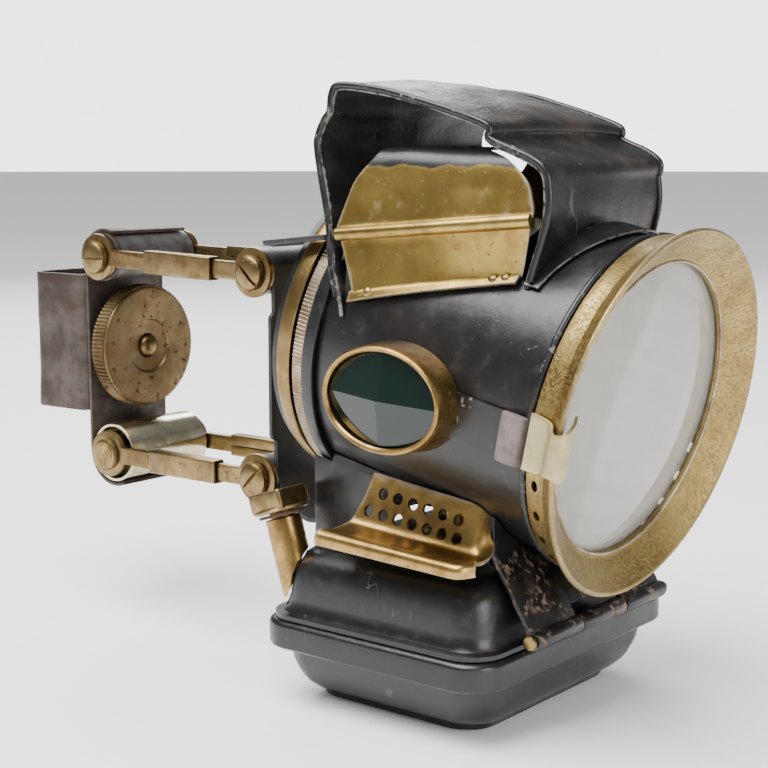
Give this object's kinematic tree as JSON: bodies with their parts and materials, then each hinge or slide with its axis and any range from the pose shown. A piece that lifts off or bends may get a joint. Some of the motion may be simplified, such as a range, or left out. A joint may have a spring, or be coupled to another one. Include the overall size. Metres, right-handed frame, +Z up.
{
  "type": "bicycle oil headlamp",
  "caption": "Black japanned cycle oil lamp with brass lens door, jewelled sides, smoke hood, hinged oil fount and a parallel spring bracket with clamp socket.",
  "frame": {"origin": "centre of the flat foot under the oil fount, on the surface that the lamp stands on", "axes": "+Z up, -Y the way the lamp shines, +X the rider's left as the rider sits behind the lamp, called port; the green jewel is on -X, starboard"},
  "size_m": [0.0868, 0.1932, 0.1372],
  "materials": {
    "black_japan": "worn black japan over steel, with brown rust freckles",
    "aged_brass": "dull aged brass with olive and brown staining",
    "brown_steel": "rough steel gone brown with old rust",
    "nickel_plate": "yellowed nickel plate, bright where rubbed",
    "silvered": "silvered bowl",
    "clear_glass": "clear pressed glass",
    "green_glass": "dark green faceted glass",
    "red_glass": "dark red faceted glass",
    "cotton_wick": "flat woven cotton",
    "leather_washer": "oiled leather"
  },
  "bodies": {
    "lamp_body": {"barrel": "black_japan", "hood": "black_japan", "throat": "black_japan", "apron": "black_japan", "rear_collar": "aged_brass", "barrel_hinge_leaf": "aged_brass", "door_hinge_pin": "aged_brass", "latch_lug": "brown_steel", "heat_baffle_port": "aged_brass", "heat_baffle_starboard": "aged_brass", "air_vent_port": "aged_brass", "air_vent_starboard": "aged_brass", "jewel_bezel_port": "aged_brass", "jewel_bezel_starboard": "aged_brass", "green_jewel": "green_glass", "red_jewel": "red_glass", "fount_hinge_pin": "aged_brass", "back_plate": "black_japan", "bracket_fork": "black_japan", "upper_inner_pin": "aged_brass", "lower_inner_pin": "aged_brass"},
    "lens_door": {"front_bezel": "aged_brass", "bezel_hinge_leaf": "aged_brass", "lens": "clear_glass", "lens_retainer": "aged_brass", "bezel_clip": "aged_brass"},
    "rear_closure": {"rear_cap": "aged_brass", "reflector": "silvered"},
    "oil_fount": {"fount_pan": "black_japan", "fount_band": "black_japan", "fount_shell": "black_japan", "fount_hinge_leaf": "black_japan", "filler_tube": "aged_brass", "burner_ring": "aged_brass", "wick_tube": "aged_brass"},
    "wick_winder": {"wick_spindle": "aged_brass"},
    "wick_strip": {"wick": "cotton_wick"},
    "filler_seal": {"filler_washer": "leather_washer"},
    "filler_screw_cap": {"filler_cap": "aged_brass"},
    "upper_links": {"upper_link_port": "aged_brass", "upper_link_starboard": "aged_brass", "upper_sleeve_port": "aged_brass", "upper_sleeve_starboard": "aged_brass", "upper_outer_pin": "aged_brass", "upper_spring": "brown_steel"},
    "lower_links": {"lower_link_port": "aged_brass", "lower_link_starboard": "aged_brass", "lower_sleeve_port": "aged_brass", "lower_sleeve_starboard": "aged_brass", "lower_outer_pin": "aged_brass", "lower_spring": "brown_steel"},
    "outer_bracket": {"outer_plate": "brown_steel", "upper_roller": "brown_steel", "lower_roller": "nickel_plate", "socket": "brown_steel"},
    "jaw": {"clamp_jaw": "brown_steel"},
    "thumb_screw": {"clamp_screw": "aged_brass", "clamp_wheel": "aged_brass"}
  },
  "joints": [
    {"name": "lens_door_hinge", "type": "hinge", "parent": "lamp_body", "child": "lens_door", "pos_m": [0.041, -0.04228, 0.06866], "axis": [0, -0.2057, 0.9786], "range_deg": [0, 100]},
    {"name": "rear_cap_turn", "type": "hinge", "parent": "lamp_body", "child": "rear_closure", "pos_m": [0, 0.02837, 0.08351], "axis": [0, 0.9786, 0.2057], "range_deg": [0, 35]},
    {"name": "fount_hinge", "type": "hinge", "parent": "lamp_body", "child": "oil_fount", "pos_m": [0, -0.0356, 0.02235], "axis": [-1, 0, 0], "range_deg": [0, 80]},
    {"name": "wick_winder_turn", "type": "hinge", "parent": "oil_fount", "child": "wick_winder", "pos_m": [0, 0.0026, 0.0414], "axis": [-1, 0, 0], "range_deg": [0, 90]},
    {"name": "wick_lift", "type": "slide", "parent": "oil_fount", "child": "wick_strip", "axis": [0, 0, 1], "range_m": [0, 0.0034]},
    {"name": "filler_cap_lift", "type": "slide", "parent": "oil_fount", "child": "filler_seal", "axis": [0, 0.309, 0.9511], "range_m": [0, 0.003]},
    {"name": "filler_cap_turn", "type": "hinge", "parent": "filler_seal", "child": "filler_screw_cap", "pos_m": [-0.031, 0.0246, 0.0283], "axis": [0, 0.309, 0.9511], "range_deg": [0, 1081]},
    {"name": "upper_links_swing", "type": "hinge", "parent": "lamp_body", "child": "upper_links", "pos_m": [0, 0.0518, 0.0931], "axis": [1, 0, 0], "range_deg": [-10, 10], "stiffness_Nm_per_rad": 6, "springref_deg": 0.69},
    {"name": "lower_links_swing", "type": "hinge", "parent": "lamp_body", "child": "lower_links", "pos_m": [0, 0.0511, 0.0435], "axis": [1, 0, 0], "range_deg": [-10.1, 10.1]},
    {"name": "outer_bracket_turn", "type": "hinge", "parent": "upper_links", "child": "outer_bracket", "pos_m": [0, 0.1064, 0.0945], "axis": [1, 0, 0], "range_deg": [-10.1, 10.1]},
    {"name": "jaw_slide", "type": "slide", "parent": "outer_bracket", "child": "jaw", "axis": [0, 1, 0], "range_m": [-0.0045, 0.0025]},
    {"name": "thumb_screw_turn", "type": "hinge", "parent": "jaw", "child": "thumb_screw", "pos_m": [0, 0.1065, 0.0703], "axis": [0, 1, 0], "range_deg": [-1621, 901]}
  ],
  "couplings": [
    {"joint": "wick_winder_turn", "follows": "wick_lift", "rad_per_m": 454.55},
    {"joint": "filler_cap_turn", "follows": "filler_cap_lift", "rad_per_m": 6283.2},
    {"joint": "lower_links_swing", "follows": "upper_links_swing", "ratio": 1},
    {"joint": "outer_bracket_turn", "follows": "upper_links_swing", "ratio": -1},
    {"joint": "thumb_screw_turn", "follows": "jaw_slide", "rad_per_m": 6283.2}
  ]
}
